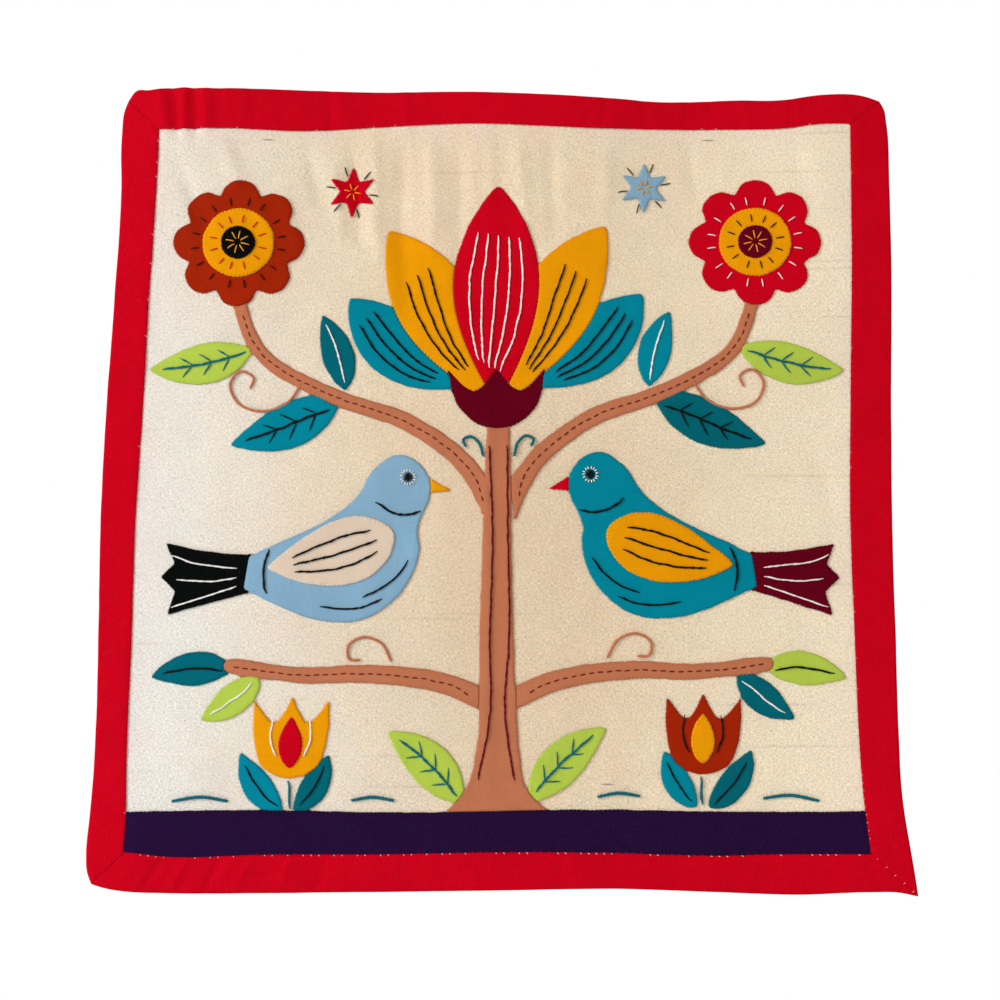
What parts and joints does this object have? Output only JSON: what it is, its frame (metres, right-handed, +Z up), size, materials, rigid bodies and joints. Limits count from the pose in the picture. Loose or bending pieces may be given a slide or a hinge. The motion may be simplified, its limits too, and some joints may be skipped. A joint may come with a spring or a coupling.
{
  "type": "applique wall hanging",
  "caption": "Square wall hanging: coloured cotton pieces sewn on a natural cotton ground as a tree with birds and flowers, with a folded, mitred red border and a dark band at the foot.",
  "frame": {"origin": "middle of the top edge, on the middle of the cloth's thickness", "axes": "+Z up, along the hanging's height; the sewn face looks towards -Y, with +X to the right when it is faced"},
  "size_m": [0.4556, 0.01, 0.46],
  "materials": {
    "natural": "undyed handwoven cotton, plain weave, with slubs and seed flecks",
    "red": "smooth matt dyed cotton",
    "purple": "smooth matt dyed cotton",
    "turquoise": "smooth matt dyed cotton",
    "teal": "smooth matt dyed cotton",
    "light_blue": "smooth matt dyed cotton",
    "yellow": "smooth matt dyed cotton",
    "rust": "smooth matt dyed cotton",
    "brown": "smooth matt dyed cotton",
    "maroon": "smooth matt dyed cotton",
    "black": "smooth matt dyed cotton",
    "lime": "smooth matt dyed cotton",
    "white": "off-white matt cotton"
  },
  "bodies": {
    "root": {"ground": "natural", "border_top": "red", "border_right": "red", "border_bottom": "red", "border_left": "red", "band": "purple", "trunk": "brown", "branch_low_left": "brown", "branch_low_right": "brown", "branch_high_left": "brown", "branch_high_right": "brown", "calyx": "maroon", "petal_centre": "red", "petal_side_left": "yellow", "petal_side_right": "yellow", "petal_outer_left": "turquoise", "petal_outer_right": "turquoise", "rose_left": "rust", "rose_right": "red", "rose_ring_left": "yellow", "rose_ring_right": "yellow", "rose_eye_left": "black", "rose_eye_right": "maroon", "bird_left": "light_blue", "bird_right": "turquoise", "bird_wing_left": "white", "bird_wing_right": "yellow", "bird_tail_left": "black", "bird_tail_right": "maroon", "bird_beak_left": "yellow", "bird_beak_right": "red", "leaf_foot_left": "lime", "leaf_foot_right": "lime", "leaf_low_end_left": "teal", "leaf_low_end_right": "lime", "leaf_low_under_left": "lime", "leaf_low_under_right": "teal", "leaf_high_inner_left": "teal", "leaf_high_inner_right": "turquoise", "leaf_high_under_left": "turquoise", "leaf_high_under_right": "teal", "leaf_high_end_left": "lime", "leaf_high_end_right": "lime", "tulip_left": "yellow", "tulip_right": "rust", "tulip_heart_left": "red", "tulip_heart_right": "yellow", "leaf_tulip_inner_left": "teal", "leaf_tulip_inner_right": "turquoise", "leaf_tulip_outer_left": "turquoise", "leaf_tulip_outer_right": "teal", "star_left": "red", "star_right": "light_blue"}
  },
  "joints": []
}
